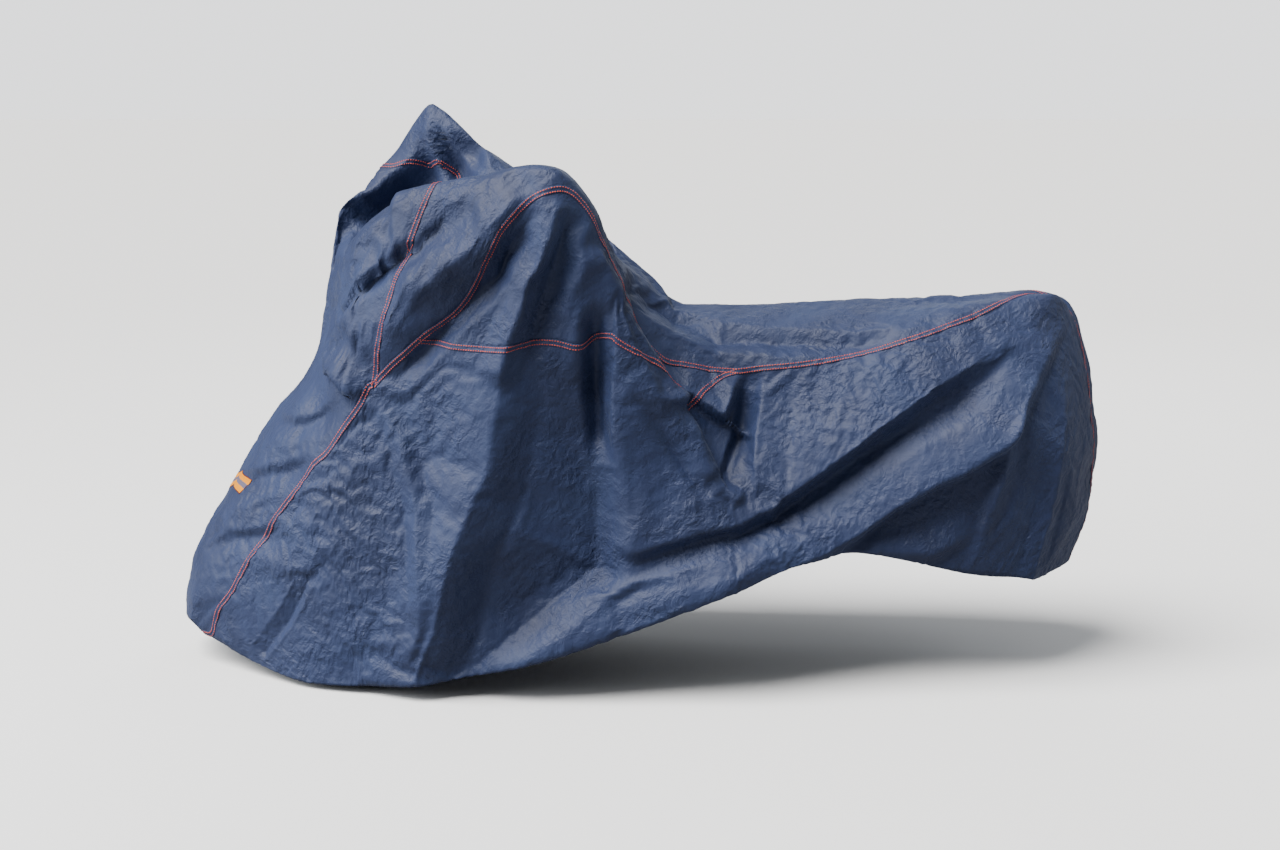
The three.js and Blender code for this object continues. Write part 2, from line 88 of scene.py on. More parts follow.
def setLights():
    for name, (place, size, watts, colour) in lights.items():
        lamp = addLamp(name, "AREA", watts, colour, Vector(middle) - Vector(place))
        lamp.data.size = size
        lamp.location = place
    lamp = addLamp("sun", "SUN", sun["strength"], sun["colour"], -Vector(sun["from"]))
    lamp.data.angle = math.radians(sun["wide"])
    world = bpy.data.worlds.new("sky")
    world.use_nodes = True
    nodes, links = world.node_tree.nodes, world.node_tree.links
    background = nodes["Background"]
    background.inputs["Color"].default_value = (*sky["colour"], 1)
    direction = nodes.new("ShaderNodeSeparateXYZ")
    links.new(nodes.new("ShaderNodeTexCoord").outputs["Generated"], direction.inputs[0])
    height = mathNode(nodes, links, "MAXIMUM", direction.outputs["Z"], 0.0)
    light = mathNode(nodes, links, "MULTIPLY", height, sky["zenith"] - sky["horizon"])
    light = mathNode(nodes, links, "ADD", light, sky["horizon"])
    seen = nodes.new("ShaderNodeMix")
    seen.inputs["B"].default_value = sky["backdrop"]
    links.new(nodes.new("ShaderNodeLightPath").outputs["Is Camera Ray"], seen.inputs["Factor"])
    links.new(light, seen.inputs["A"])
    links.new(seen.outputs["Result"], background.inputs["Strength"])
    bpy.context.scene.world = world


def setFloor():
    bm = bmesh.new()
    bmesh.ops.create_grid(bm, x_segments=1, y_segments=1, size=view["floorSize"] / 2)
    bmesh.ops.translate(bm, verts=bm.verts, vec=(0, 0, view["floorHeight"]))
    floor = meshObject("floor", bm)
    material, nodes, links, shader = newMaterial("floorPaint")
    shader.inputs["Roughness"].default_value = view["floorRoughness"]
    seen = nodes.new("ShaderNodeMix")
    seen.data_type = "RGBA"
    seen.inputs["A"].default_value = (*view["floorThrown"], 1)
    seen.inputs["B"].default_value = (*view["floorSeen"], 1)
    links.new(nodes.new("ShaderNodeLightPath").outputs["Is Camera Ray"], seen.inputs["Factor"])
    links.new(seen.outputs["Result"], shader.inputs["Base Color"])
    floor.data.materials.append(material)


def meshObject(name, bm):
    mesh = bpy.data.meshes.new(name)
    bm.to_mesh(mesh)
    bm.free()
    return addObject(name, mesh)


def newMaterial(name):
    material = bpy.data.materials.new(name)
    material.use_nodes = True
    nodes = material.node_tree.nodes
    return material, nodes, material.node_tree.links, nodes["Principled BSDF"]


def setInputs(node, values):
    for name, value in values.items():
        node.inputs[name].default_value = value


def mathNode(nodes, links, operation, a, b=None, clamp=False):
    node = nodes.new("ShaderNodeMath")
    node.operation = operation
    node.use_clamp = clamp
    for socket, value in zip(node.inputs, (a, b)):
        if value is None:
            continue
        if isinstance(value, (int, float)):
            socket.default_value = value
        else:
            links.new(value, socket)
    return node.outputs[0]


def noiseNode(nodes, links, vector, scale, detail, roughness=0.5, distortion=0.0):
    node = nodes.new("ShaderNodeTexNoise")
    setInputs(node, {"Detail": detail, "Roughness": roughness, "Distortion": distortion})
    if isinstance(scale, (int, float)):
        node.inputs["Scale"].default_value = scale
    else:
        links.new(scale, node.inputs["Scale"])
    links.new(vector, node.inputs["Vector"])
    return node.outputs["Fac"]


def addBump(nodes, links, height, distance, shader):
    bump = nodes.new("ShaderNodeBump")
    bump.inputs["Distance"].default_value = distance
    links.new(height, bump.inputs["Height"])
    links.new(bump.outputs["Normal"], shader.inputs["Normal"])


def rampNode(nodes, links, value, stops):
    node = nodes.new("ShaderNodeValToRGB")
    ramp = node.color_ramp
    while len(ramp.elements) < len(stops):
        ramp.elements.new(0.5)
    for element, (place, colour) in zip(ramp.elements, stops):
        element.position = place
        element.color = (*colour, 1)
    links.new(value, node.inputs["Fac"])
    return node.outputs["Color"]


# Scales go with one over the size of a crinkle. "least" is the height left where they are few.
crinkle = {
    "turned": (0.5, 0.9, 0.35), "detail": 2, "warpScale": 0.35, "warpReach": 2.2, "facetScale": 0.8,
    "facets": {"Detail": 2, "Roughness": 0.45, "Lacunarity": 2.3},
    "patchScale": 0.14, "patchWarp": 0.4, "patchFrom": 0.38, "patchGain": 3.4, "least": 0.3,
}


# The fine crinkles of thin coated cloth: a height made of small flat facets with creases between
# them, denser in some patches than in others.
def crinkleGroup():
    group = bpy.data.node_groups.new("crinkles", "ShaderNodeTree")
    for name, way, kind in (("Vector", "INPUT", "Vector"), ("Size", "INPUT", "Float"),
                            ("Height", "OUTPUT", "Float")):
        group.interface.new_socket(name, in_out=way, socket_type="NodeSocket" + kind)
    nodes, links = group.nodes, group.links
    given = nodes.new("NodeGroupInput")
    made = nodes.new("NodeGroupOutput")
    size = given.outputs["Size"]
    turned = nodes.new("ShaderNodeMapping")
    turned.inputs["Rotation"].default_value = crinkle["turned"]
    links.new(given.outputs["Vector"], turned.inputs["Vector"])
    warp = nodes.new("ShaderNodeTexNoise")
    warp.inputs["Detail"].default_value = crinkle["detail"]
    links.new(mathNode(nodes, links, "DIVIDE", crinkle["warpScale"], size), warp.inputs["Scale"])
    links.new(turned.outputs["Vector"], warp.inputs["Vector"])
    centred = nodes.new("ShaderNodeVectorMath")
    centred.operation = "SUBTRACT"
    centred.inputs[1].default_value = (0.5, 0.5, 0.5)
    links.new(warp.outputs["Color"], centred.inputs[0])
    shift = nodes.new("ShaderNodeVectorMath")
    shift.operation = "SCALE"
    links.new(centred.outputs[0], shift.inputs[0])
    links.new(mathNode(nodes, links, "MULTIPLY", size, crinkle["warpReach"]), shift.inputs["Scale"])
    place = nodes.new("ShaderNodeVectorMath")
    links.new(turned.outputs["Vector"], place.inputs[0])
    links.new(shift.outputs[0], place.inputs[1])
    facets = nodes.new("ShaderNodeTexVoronoi")
    facets.distance = "MANHATTAN"
    setInputs(facets, crinkle["facets"])
    links.new(mathNode(nodes, links, "DIVIDE", crinkle["facetScale"], size), facets.inputs["Scale"])
    links.new(place.outputs[0], facets.inputs["Vector"])
    patchScale = mathNode(nodes, links, "DIVIDE", crinkle["patchScale"], size)
    dense = noiseNode(nodes, links, given.outputs["Vector"], patchScale, crinkle["detail"], 0.5,
                      crinkle["patchWarp"])
    dense = mathNode(nodes, links, "SUBTRACT", dense, crinkle["patchFrom"])
    dense = mathNode(nodes, links, "MULTIPLY", dense, crinkle["patchGain"], clamp=True)
    share = mathNode(nodes, links, "MULTIPLY", dense, 1 - crinkle["least"])
    share = mathNode(nodes, links, "ADD", share, crinkle["least"])
    links.new(mathNode(nodes, links, "MULTIPLY", facets.outputs["Distance"], share), made.inputs["Height"])


clothLook = {
    "deep": (0.011, 0.020, 0.062), "navy": (0.015, 0.027, 0.080), "worn": (0.021, 0.037, 0.098),
    "patchScale": 5.5, "roughness": (0.54, 0.66), "crinkleSize": 0.018, "crinkleBump": 0.0024,
    "finish": {"Specular IOR Level": 0.42, "Sheen Weight": 0.06, "Sheen Roughness": 0.45,
               "Sheen Tint": (0.75, 0.84, 1.0, 1)},
}


def clothMaterial():
    material, nodes, links, shader = newMaterial("coatedCloth")
    where = nodes.new("ShaderNodeTexCoord").outputs["Object"]
    crinkles = nodes.new("ShaderNodeGroup")
    crinkles.node_tree = bpy.data.node_groups["crinkles"]
    crinkles.inputs["Size"].default_value = clothLook["crinkleSize"]
    links.new(where, crinkles.inputs["Vector"])
    patches = noiseNode(nodes, links, where, clothLook["patchScale"], 4, 0.6, 0.3)
    colour = rampNode(nodes, links, patches, [
        (0.30, clothLook["deep"]), (0.52, clothLook["navy"]), (0.80, clothLook["worn"])])
    links.new(colour, shader.inputs["Base Color"])
    low, high = clothLook["roughness"]
    rough = mathNode(nodes, links, "MULTIPLY", patches, high - low)
    rough = mathNode(nodes, links, "ADD", rough, low)
    links.new(rough, shader.inputs["Roughness"])
    setInputs(shader, clothLook["finish"])
    addBump(nodes, links, crinkles.outputs["Height"], clothLook["crinkleBump"], shader)
    return material


# A place on the draped surface has two numbers. "at" counts sections from the front hem (0) to the
# rear hem (26). "over" goes across, from the near hem (-1) over the middle (0) to the far hem (1).
hang = (0.1252, -0.0559, 0.885)  # the frame's origin over the ground, in metres


def table(names, rows):
    return [dict(zip(names.split(), row)) for row in rows]


# A fold's path is seen square to its side, and its rows are (x, z, depth). "left" and "right" are
# its widths. A sharp fold has a creased top, and "lean" slides its top over its right side.
def fold(left, right, path, sharp=0.0, lean=0.0):
    return {"left": left, "right": right, "path": path, "sharp": sharp, "lean": lean}


nearHem = table("at x y z", [
    (0, -1085, -105, 75), (2, -920, -230, 30), (4, -790, -315, 15), (9, -540, -385, 35),
    (11, -400, -410, 60), (13, -205, -415, 110), (16, 180, -390, 250), (17, 230, -383, 265),
    (19, 400, -350, 325), (20, 520, -330, 340), (22, 775, -290, 280), (24, 905, -250, 260),
    (26, 970, -200, 245),
])
nearLow = table("at x y z", [
    (0, -1095, -100, 80), (1, -1030, -155, 85), (3, -865, -265, 120), (5, -750, -320, 210),
    (9, -580, -368, 295), (11, -420, -395, 320), (13, -210, -402, 365), (14, -80, -398, 385),
    (15, 50, -385, 435), (16, 150, -366, 455), (17, 215, -345, 448), (18, 285, -325, 442),
    (20, 535, -305, 465), (21, 695, -300, 450), (22, 830, -285, 440), (23, 910, -262, 430),
    (25, 995, -205, 310), (26, 990, -178, 245),
])
nearFlank = table("at x y z", [
    (0, -1105, -95, 90), (1, -1060, -130, 145), (2, -970, -190, 195), (4, -810, -280, 370),
    (5, -765, -295, 455), (8, -655, -308, 645), (9, -625, -305, 700), (11, -445, -362, 690),
    (12, -330, -385, 705), (14, -85, -380, 715), (15, 10, -370, 680), (16, 115, -345, 645),
    (17, 150, -290, 605), (18, 235, -258, 628), (19, 400, -268, 635), (21, 730, -280, 625),
    (22, 875, -265, 635), (23, 960, -240, 630), (24, 1030, -205, 540), (25, 1045, -172, 380),
    (26, 1005, -150, 245),
])
nearEdge = table("at x y z", [
    (0, -1130, -75, 105), (1, -1105, -95, 185), (2, -1050, -115, 285), (5, -825, -175, 650),
    (6, -750, -190, 750), (7, -675, -220, 1065), (8, -605, -245, 1165), (9, -475, -290, 1210),
    (10, -365, -330, 1220), (12, -200, -390, 1235), (13, -125, -375, 1165), (14, -90, -352, 1085),
    (15, -70, -338, 1030), (16, -35, -320, 960), (17, -20, -205, 920), (18, 145, -180, 835),
    (19, 320, -190, 815), (20, 525, -195, 830), (22, 935, -150, 910), (23, 1015, -130, 880),
    (24, 1085, -115, 645), (25, 1090, -100, 415), (26, 1050, -85, 245),
])
crest = table("at x y z", [
    (0, -1155, 0, 100), (1, -1145, -5, 165), (2, -1115, -10, 270), (5, -900, -30, 610),
    (6, -805, -40, 735), (6.5, -765, -30, 800), (7, -745, -5, 940), (8, -640, 40, 1000),
    (9, -440, 55, 1115), (10, -310, 40, 1132), (12, -160, 0, 1110), (13, -105, -30, 1070),
    (14, -70, -40, 1020), (16, -20, -45, 980), (17, 60, -50, 915), (18, 125, -55, 880),
    (21, 755, -65, 900), (22, 975, -60, 910), (23, 1065, -50, 850), (24, 1120, -40, 580),
    (25, 1120, -30, 385), (26, 1080, -20, 240),
])
farEdge = table("at x y z", [
    (0, -1165, 75, 95), (1, -1160, 95, 150), (2, -1120, 110, 245), (4, -985, 130, 490),
    (5, -915, 140, 600), (6, -825, 150, 725), (7, -740, 220, 1080), (8, -705, 280, 1160),
    (9, -655, 330, 1225), (10, -540, 300, 1330), (11, -425, 265, 1250), (12, -320, 215, 1180),
    (13, -200, 160, 1125), (14, -125, 110, 1060), (16, -75, 60, 1020), (17, 0, 35, 960),
    (18, 120, 15, 875), (20, 545, 20, 885), (21, 765, 10, 895), (22, 985, 20, 900),
    (23, 1070, 20, 825), (24, 1135, 35, 565), (25, 1130, 45, 370), (26, 1090, 45, 245),
])
farFlank = table("at x y z", [
    (0, -1120, 100, 95), (3, -930, 215, 250), (6, -700, 275, 500), (8, -640, 330, 780),
    (10, -560, 365, 760), (13, -330, 330, 700), (17, -20, 270, 650), (20, 350, 250, 620),
    (23, 820, 215, 620), (25, 1040, 160, 420), (26, 1060, 95, 275),
])
farHem = table("at x y z", [
    (0, -1090, 110, 98), (3, -900, 245, 90), (6, -760, 320, 100), (9, -690, 350, 115),
    (12, -430, 365, 170), (16, -40, 350, 260), (19, 300, 325, 335), (22, 700, 290, 340),
    (24, 870, 255, 325), (26, 985, 180, 305),
])

frontSeam = table("at over", [
    (0, -0.94), (0.6, -0.82), (1.35, -0.66), (2.2, -0.57), (3.1, -0.54), (4.5, -0.55), (6.7, -0.62),
    (9, -0.64),
])
upperSeam = table("at over", [
    (9, -0.64), (9.65, -0.605), (10.1, -0.575), (10.7, -0.54), (11.05, -0.5), (11.4, -0.435),
    (11.75, -0.4), (12.1, -0.38), (12.6, -0.345), (13.05, -0.335), (14, -0.335), (16, -0.31),
    (16.5, -0.4), (17, -0.485), (17.5, -0.49), (18.333, -0.48),
])
lowerSeam = table("at over", [
    (10, -0.583), (11.05, -0.585), (11.9, -0.59), (12.9, -0.58), (13.5, -0.58), (13.9, -0.56),
    (14.4, -0.545), (15.2, -0.54), (15.9, -0.53), (16.25, -0.545), (16.6, -0.59), (17, -0.59),
    (17.65, -0.55), (18.333, -0.48), (19.2, -0.44), (19.95, -0.405), (20.85, -0.37), (21.5, -0.31),
    (22, -0.13), (22.333, -0.004),
])
swagEdge = table("at over", [
    (0, -0.97), (3, -0.8), (9, -0.84), (13, -0.83), (14.05, -0.84), (14.5, -0.87), (15.55, -0.89),
    (18.3, -0.85), (19.2, -0.78), (20.35, -0.63), (21.05, -0.56), (21.7, -0.49), (22.45, -0.42),
    (24, -0.48), (26, -0.6),
])
nearFolds = [
    # the ridge that the near peak pulls down to the front seam
    fold(66, 105, [(-250, 1212, 0), (-290, 1156, 24), (-326, 1106, 42), (-378, 1054, 50),
        (-428, 1014, 52), (-488, 960, 50), (-546, 886, 42), (-588, 828, 22), (-630, 770, 0)],
        sharp=0.35),
    # the valley that the seam lies in
    fold(44, 30, [(-245, 1190, 0), (-268, 1130, -16), (-284, 1092, -24), (-306, 1052, -28),
        (-326, 1010, -30), (-362, 968, -28), (-400, 928, -28), (-452, 872, -28), (-500, 820, -24),
        (-552, 764, -8), (-588, 738, 0)], sharp=0.1),
    # the first ridge down from the near peak, and the valley after it
    fold(28, 62, [(-180, 1195, 0), (-189, 1145, 16), (-200, 1103, 26), (-217, 1059, 30),
        (-231, 1026, 32), (-252, 990, 32), (-279, 896, 30), (-299, 850, 28), (-312, 795, 22),
        (-322, 740, 0)], sharp=0.5),
    fold(60, 24, [(-150, 1190, 0), (-170, 1100, -16), (-190, 1028, -22), (-232, 900, -22),
        (-262, 790, -10), (-280, 720, 0)]),
    # the long edge where the drape turns from the front to the side
    fold(100, 150, [(-295, 860, 0), (-314, 780, 24), (-330, 680, 42), (-350, 550, 50), (-390, 448, 56),
        (-420, 378, 60), (-448, 280, 58), (-475, 170, 52), (-522, 50, 38)], sharp=0.4),
    # the broad shade beside it
    fold(76, 235, [(-118, 860, 0), (-112, 730, -20), (-106, 620, -36), (-98, 450, -50), (-98, 320, -54),
        (-250, 200, -46), (-400, 80, -20)], sharp=0.4),
    # the second ridge down from the near peak
    fold(40, 45, [(-140, 1170, 0), (-130, 1040, 12), (-145, 880, 14), (-160, 710, 0)], sharp=0.3),
    # the deep pleat at the middle of the near side, and the cloth that hangs over it
    fold(30, 44, [(-98, 945, 0), (-98, 850, -34), (-96, 730, -44), (-90, 650, -34), (-84, 560, 0)]),
    fold(110, 22, [(-60, 965, 0), (-48, 868, 8), (-48, 738, 10), (-50, 640, 8), (-44, 520, 0)],
        lean=16),
    # the lower edge of the upper swag, which hangs over the cloth below
    fold(200, 40, [(-80, 395, 0), (-10, 370, 20), (130, 412, 28), (220, 425, 34), (291, 451, 46),
        (360, 501, 54), (499, 600, 54), (598, 666, 50), (691, 727, 42), (775, 772, 30), (841, 810, 18),
        (922, 861, 0)], sharp=0.4, lean=16),
    # the free edge where the front drape passes in front of the low back
    fold(24, 80, [(-105, 1080, 0), (-92, 1031, 12), (-50, 933, 16), (-8, 820, 18), (42, 722, 18),
        (78, 668, 8), (110, 610, 0)], sharp=0.4, lean=-10),
    # the soft ridge that goes on from it down to the curl
    fold(40, 46, [(90, 690, 0), (130, 620, 14), (150, 545, 16), (165, 500, 0)], sharp=0.4),
    # the crease between that ridge and the drape
    fold(26, 30, [(-30, 745, 0), (20, 690, -8), (80, 590, -14), (130, 520, -14), (165, 480, 0)],
        sharp=0.5),
    # the curled end where the swag and the drape meet
    fold(22, 26, [(150, 520, 0), (185, 505, 20), (215, 480, 20), (225, 460, 0)], sharp=0.4, lean=10),
    # the hollow under the swag's edge
    fold(26, 50, [(185, 372, 0), (380, 462, -10), (565, 588, -14), (735, 676, -12), (905, 808, 0)]),
    # the round of the lower swag, and the lower edge of the cloth behind it
    fold(90, 90, [(-60, 230, 0), (120, 270, 18), (260, 320, 26), (380, 370, 14), (480, 430, 0)]),
    fold(34, 150, [(1005, 867, 0), (941, 758, 20), (904, 695, 32), (865, 616, 44), (836, 590, 48),
        (746, 539, 52), (688, 515, 54), (589, 458, 54), (507, 399, 46), (427, 347, 28), (340, 310, 0)],
        sharp=0.35, lean=-14),
    # the short ridge above the rear hem
    fold(40, 30, [(910, 690, 0), (871, 616, 18), (852, 506, 20), (821, 409, 10), (795, 315, 0)],
        sharp=0.5),
    # the low ridge along the rear hem
    fold(34, 60, [(830, 410, 0), (690, 335, 18), (565, 345, 14), (480, 340, 0)], sharp=0.3),
    # the ridge at the rear corner
    fold(40, 45, [(1005, 830, 0), (1010, 640, 12), (985, 445, 16), (940, 250, 12)], sharp=0.5),
    # the lower hem stands outwards
    fold(150, 70, [(-430, 60, 0), (-280, 100, 20), (-60, 175, 34), (180, 250, 40), (330, 300, 28),
        (430, 340, 0)]),
    # the thin ridge above it
    fold(24, 30, [(-285, 180, 0), (-230, 212, 4), (-19, 289, 8), (112, 320, 6), (210, 345, 0)],
        sharp=0.6),
    # the light facet with its corner, and the trough behind it
    fold(110, 18, [(40, 724, 0), (115, 700, 28), (192, 648, 46), (216, 700, 34), (232, 760, 0)],
        sharp=0.6),
    fold(44, 24, [(262, 775, 0), (252, 722, -14), (244, 670, -26), (234, 610, -28), (206, 540, -18),
        (180, 490, 0)]),
    # the cloth that folds over the trough down to the swag
    fold(70, 30, [(305, 745, 0), (290, 650, 12), (272, 560, 16), (265, 470, 0)], sharp=0.4, lean=8),
    # the long trough under the crest, from the near peak to the rear
    fold(26, 46, [(-37, 993, 0), (0, 955, -14), (48, 912, -26), (100, 876, -30), (190, 838, -30),
        (336, 828, -24), (526, 823, -14), (640, 840, 0)]),
    # the fold where the upper front hangs over the lower front
    fold(26, 70, [(-632, 740, 0), (-676, 724, 18), (-706, 770, 20), (-760, 805, 6)], sharp=0.6,
        lean=-18),
    # the ridge down from the front seam
    fold(40, 40, [(-610, 715, 0), (-560, 620, 12), (-515, 455, 16), (-505, 235, 10), (-515, 95, 0)],
        sharp=0.5),
    # the slanting dip low on the front
    fold(22, 34, [(-770, 300, 0), (-795, 260, -10), (-850, 157, -14), (-918, 67, -10)], sharp=0.2),
    # long soft creases down the front panel
    fold(24, 60, [(-1040, 420, 0), (-942, 480, -14), (-835, 520, -16), (-760, 560, 0)], sharp=0.2),
    fold(24, 60, [(-1080, 270, 0), (-996, 330, -12), (-906, 352, -14), (-840, 400, 0)], sharp=0.2),
    fold(24, 50, [(-900, 600, 0), (-830, 620, -12), (-763, 650, -12), (-700, 690, 0)], sharp=0.2),
    # short creases across the upper front, gathered at the seam
    fold(46, 14, [(-488, 1064, 0), (-520, 1056, -18), (-560, 1044, -30), (-600, 1022, -34),
        (-640, 978, -28), (-690, 940, -10), (-722, 925, 0)], sharp=0.3),
    fold(22, 10, [(-575, 985, -3), (-645, 962, -12), (-708, 928, 0)], sharp=0.5),
    fold(20, 10, [(-590, 935, -3), (-645, 905, -10), (-695, 875, 0)], sharp=0.5),
    fold(18, 10, [(-605, 868, -3), (-640, 850, -10), (-672, 832, 0)], sharp=0.5),
    fold(16, 10, [(-600, 905, 0), (-625, 882, -8), (-640, 846, 0)], sharp=0.5),
    # the trough between the front edge and the near peak
    fold(24, 30, [(-440, 1185, 0), (-458, 1130, -9), (-478, 1080, -12), (-520, 1050, 0)], sharp=0.3),
]
coneFolds = [
    # the pleat down from the far peak
    fold(20, 40, [(-534, 1340, 4), (-526, 1275, 26), (-510, 1215, 34), (-494, 1165, 30),
        (-480, 1120, 0)], sharp=0.2),
    # the second pleat, to the rear of it, and the shade between them
    fold(22, 22, [(-515, 1340, 0), (-470, 1265, 12), (-415, 1205, 16), (-385, 1165, 10)], sharp=0.4),
    fold(20, 20, [(-515, 1320, 0), (-492, 1250, -12), (-465, 1200, -14), (-440, 1150, 0)]),
]
# These lie on top, and their rows are (x, y, depth). They move along their own push.
topFolds = [
    # the crest before the near peak dips towards the front
    dict(fold(110, 110, [(-740, -180, 20), (-690, -205, 44), (-640, -225, 46), (-600, -235, 40),
        (-560, -240, 16), (-500, -250, 16), (-440, -250, 18), (-340, -270, 8), (-260, -300, 0)]),
        push=(0, 0, -1)),
    # the front edge between the peaks stands forward
    dict(fold(60, 80, [(-790, 60, 0), (-765, 150, 20), (-746, 205, 30), (-730, 240, 8),
        (-715, 262, 0)]), push=(-1, 0, 0)),
    # the hollow before the far peak, under a steep wall of cloth
    dict(fold(42, 120, [(-860, 60, 0), (-780, 120, 30), (-730, 170, 60), (-680, 212, 80),
        (-620, 235, 88), (-560, 235, 85), (-500, 205, 75), (-430, 190, 40), (-380, 190, 0)]),
        push=(0.22, 0.86, -0.46)),
]
farFolds = [
    fold(70, 60, [(-560, 1180, 0), (-610, 900, 22), (-640, 500, 30), (-650, 120, 24)]),
    fold(45, 55, [(-540, 1190, 0), (-520, 900, -16), (-530, 500, -26), (-540, 130, -26)]),
    fold(60, 60, [(-510, 1190, 0), (-430, 900, 18), (-410, 520, 30), (-420, 150, 26)]),
    fold(55, 50, [(-480, 1150, 0), (-340, 860, -18), (-300, 520, -28), (-300, 190, -26)]),
    fold(70, 60, [(-440, 1120, 0), (-240, 860, 16), (-180, 540, 28), (-170, 220, 24)]),
    fold(60, 34, [(-380, 1090, 0), (-120, 820, 20), (40, 620, 30), (180, 470, 26), (330, 420, 0)]),
    fold(120, 36, [(120, 470, 0), (300, 520, 24), (520, 640, 34), (760, 780, 26), (960, 880, 0)]),
    fold(60, 70, [(260, 360, 0), (480, 450, 16), (720, 600, 26), (900, 750, 0)]),
    fold(50, 45, [(1040, 800, 0), (1010, 620, 16), (950, 450, 22), (900, 330, 14)]),
]
guides = [  # over, line, round
    (-1, nearHem, 1), (-0.84, nearLow, 1), (-0.66, nearFlank, 1), (-0.33, nearEdge, 0.75),
    (0, crest, 1), (0.33, farEdge, 0.75), (0.66, farFlank, 1), (1, farHem, 1),
]
farPeak = {"place": (-536, 300, 1330), "height": 34, "reach": 150}
topStart, rearHem, tail = 9, 26, 67 / 3  # the sections where the top starts and the cloth ends
gusset = {"first": 10, "last": 55 / 3, "tip": 0.0018}


def ease(a, b, slopeA, slopeB, t):
    t2, t3 = t * t, t * t * t
    return (a * (2 * t3 - 3 * t2 + 1) + b * (3 * t2 - 2 * t3) + slopeA * (t3 - 2 * t2 + t)
            + slopeB * (t3 - t2))


def rise(value, low, high):
    t = np.clip((value - low) / (high - low), 0, 1)
    return t * t * (3 - 2 * t)


# The slope of the values at each knot, from the knots beside it, times its roundness.
def slopesAt(knots, values, roundness=1):
    each = np.arange(len(knots))
    before, after = np.maximum(each - 1, 0), np.minimum(each + 1, len(knots) - 1)
    run = (knots[after] - knots[before]).reshape(-1, *[1] * (values.ndim - 1))
    return roundness * (values[after] - values[before]) / run


# The knot before each place, the gap after that knot, and the place's share of the gap.
def steps(knots, place):
    k = np.clip(np.searchsorted(knots, place) - 1, 0, len(knots) - 2)
    gap = knots[k + 1] - knots[k]
    return k, gap, (place - knots[k]) / gap


def between(rows, place, by, key):
    knots = np.array([row[by] for row in rows], float)
    values = np.array([row[key] for row in rows], float)
    slopes = slopesAt(knots, values)
    k, gap, t = steps(knots, place)
    return ease(values[k], values[k + 1], slopes[k] * gap, slopes[k + 1] * gap, t)


# The surface without its folds, for arrays of places.
def restPoints(at, over):
    knots = np.array([guide[0] for guide in guides], float)
    lines = np.array([[between(line, at, "at", key) for key in "xyz"] for _, line, _ in guides])
    slopes = slopesAt(knots, lines, np.array([guide[2] for guide in guides])[:, None, None])
    k, gap, t = steps(knots, over)
    each = np.arange(len(at))
    pick = lambda source, row: source[row, :, each].T
    return ease(pick(lines, k), pick(lines, k + 1), pick(slopes, k) * gap, pick(slopes, k + 1) * gap, t).T


def outward(at, over):
    along = restPoints(np.minimum(at + 0.03, rearHem), over) - restPoints(np.maximum(at - 0.03, 0), over)
    across = restPoints(at, np.minimum(over + 0.005, 1)) - restPoints(at, np.maximum(over - 0.005, -1))
    normal = np.cross(along, across)
    return normal / np.linalg.norm(normal, axis=1)[:, None]


# How far one fold moves each point: out of the surface, and sideways in x and z.
def foldMoves(one, x, z):
    nearest = np.full(len(x), 1e9)
    depth, slideX, slideZ = np.zeros((3, len(x)))
    for (ax, az, aDepth), (bx, bz, bDepth) in zip(one["path"], one["path"][1:]):
        runX, runZ = bx - ax, bz - az
        length = math.hypot(runX, runZ)
        t = np.clip(((x - ax) * runX + (z - az) * runZ) / length ** 2, 0, 1)
        away = np.hypot(x - ax - t * runX, z - az - t * runZ)
        width = np.where(runX * (z - az) - runZ * (x - ax) > 0, one["left"], one["right"])
        top = 1 - np.clip(away / width, 0, 1)
        profile = top * top * (3 - 2 * top) * (1 - one["sharp"]) + top ** 1.7 * one["sharp"]
        height = aDepth + (bDepth - aDepth) * rise(t, 0, 1)
        closer = away < nearest
        nearest = np.where(closer, away, nearest)
        depth = np.where(closer, height * profile, depth)
        slide = one["lean"] * profile * height / max(abs(p[2]) for p in one["path"])
        slideX = np.where(closer, slide * runZ / length, slideX)
        slideZ = np.where(closer, -slide * runX / length, slideZ)
    return depth, slideX, slideZ


# Small unevenness that the simulation's wrinkles start from, in millimetres, and its scales.
uneven = {"seed": 3.0, "broad": 3.0, "broadScale": 8, "fine": 0.3, "fineScale": 37}


def unevenHeights(points):
    heights = np.empty(len(points))
    shift = Vector((uneven["seed"],) * 3)
    for k, point in enumerate(points):
        place = Vector(point) * 0.001
        heights[k] = (uneven["broad"] * noise.noise(place * uneven["broadScale"] + shift)
                      + uneven["fine"] * noise.noise(place * uneven["fineScale"] + shift))
    return heights


# The seam between front and top goes level around the far peak: how many sections back it lies.
seamShift = table("over back", [
    (-0.25, 0), (-0.1, 0.2), (0.06, 0.6), (0.105, 0.6), (0.128, 0.34), (0.165, 0.45), (0.2, 0.3),
    (0.23, 0.04), (0.26, -0.2), (0.32, -0.26), (0.42, 0),
])
seamShiftReach = 2.4  # sections
# Where each group of folds sets in, is full, starts to leave and ends, in "over" or in "at".
reach = {
    "near": (0.03, 0.12), "coneSide": (0.02, 0.08, 0.45, 0.6), "coneLength": (7.5, 8, 12, 13),
    "far": (0.35, 0.5), "top": (-0.5, -0.38, 0.3, 0.4),
}


def window(value, first, full, leaving, last):
    return rise(value, first, full) * (1 - rise(value, leaving, last))


